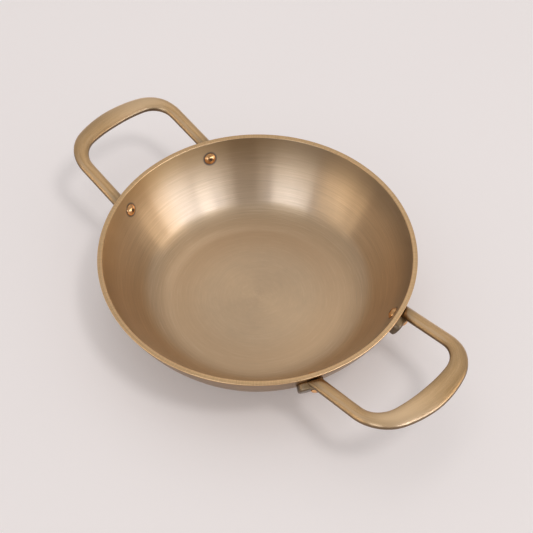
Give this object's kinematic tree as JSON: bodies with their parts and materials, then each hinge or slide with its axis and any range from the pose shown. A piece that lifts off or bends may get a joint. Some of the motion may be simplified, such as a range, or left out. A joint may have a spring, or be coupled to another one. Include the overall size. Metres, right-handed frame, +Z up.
{
  "type": "kadai pan",
  "caption": "Round open brass pan with a flat rim, curved side and flat bottom, and riveted loop handles that stand out from its side for lifting.",
  "frame": {"origin": "middle of the flat bottom, at the level the pan stands on", "axes": "+Z up out of the open mouth; +X along the line of the two handles, towards the right handle; +Y across, towards the back"},
  "size_m": [0.3752, 0.24, 0.0698],
  "materials": {
    "bowl_brass": "satin, brushed in rings inside and across the rim",
    "handle_brass": "satin, a little darker and more antique than the bowl",
    "rivet_copper": "polished copper"
  },
  "bodies": {
    "root": {"bowl": "bowl_brass", "right_handle": "handle_brass", "left_handle": "handle_brass", "right_front_rivet": "rivet_copper", "right_back_rivet": "rivet_copper", "left_front_rivet": "rivet_copper", "left_back_rivet": "rivet_copper"}
  },
  "joints": []
}
